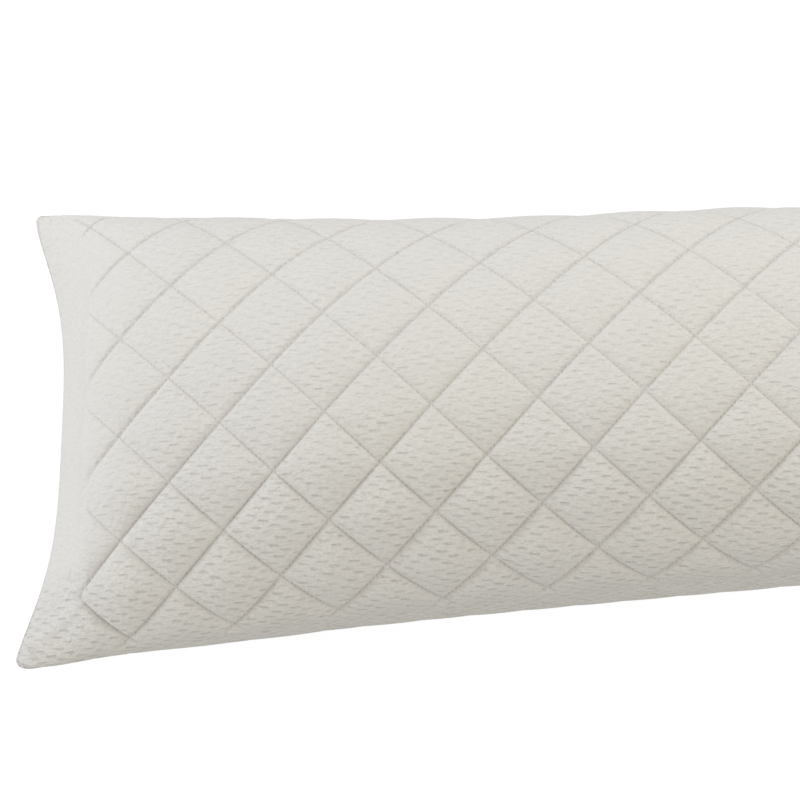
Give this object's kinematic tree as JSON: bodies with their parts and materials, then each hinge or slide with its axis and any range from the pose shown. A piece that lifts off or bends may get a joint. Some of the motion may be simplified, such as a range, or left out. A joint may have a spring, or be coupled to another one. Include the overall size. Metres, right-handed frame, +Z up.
{
  "type": "body pillow",
  "caption": "Long stuffed body pillow with a diamond-quilted knit cover, drawn-in sides and pointed corners, lying flat on its back.",
  "frame": {"origin": "on the surface that the pillow lies on, under the middle of its box", "axes": "+X along the pillow from its left end to its right end, +Y from the front side seam to the back side seam, +Z up"},
  "size_m": [1.3424, 0.4558, 0.2343],
  "materials": {
    "quilted_cover": "matte ivory jacquard knit, quilted in diamonds, with short ribs running along the pillow"
  },
  "bodies": {
    "root": {"body_pillow": "quilted_cover"}
  },
  "joints": []
}
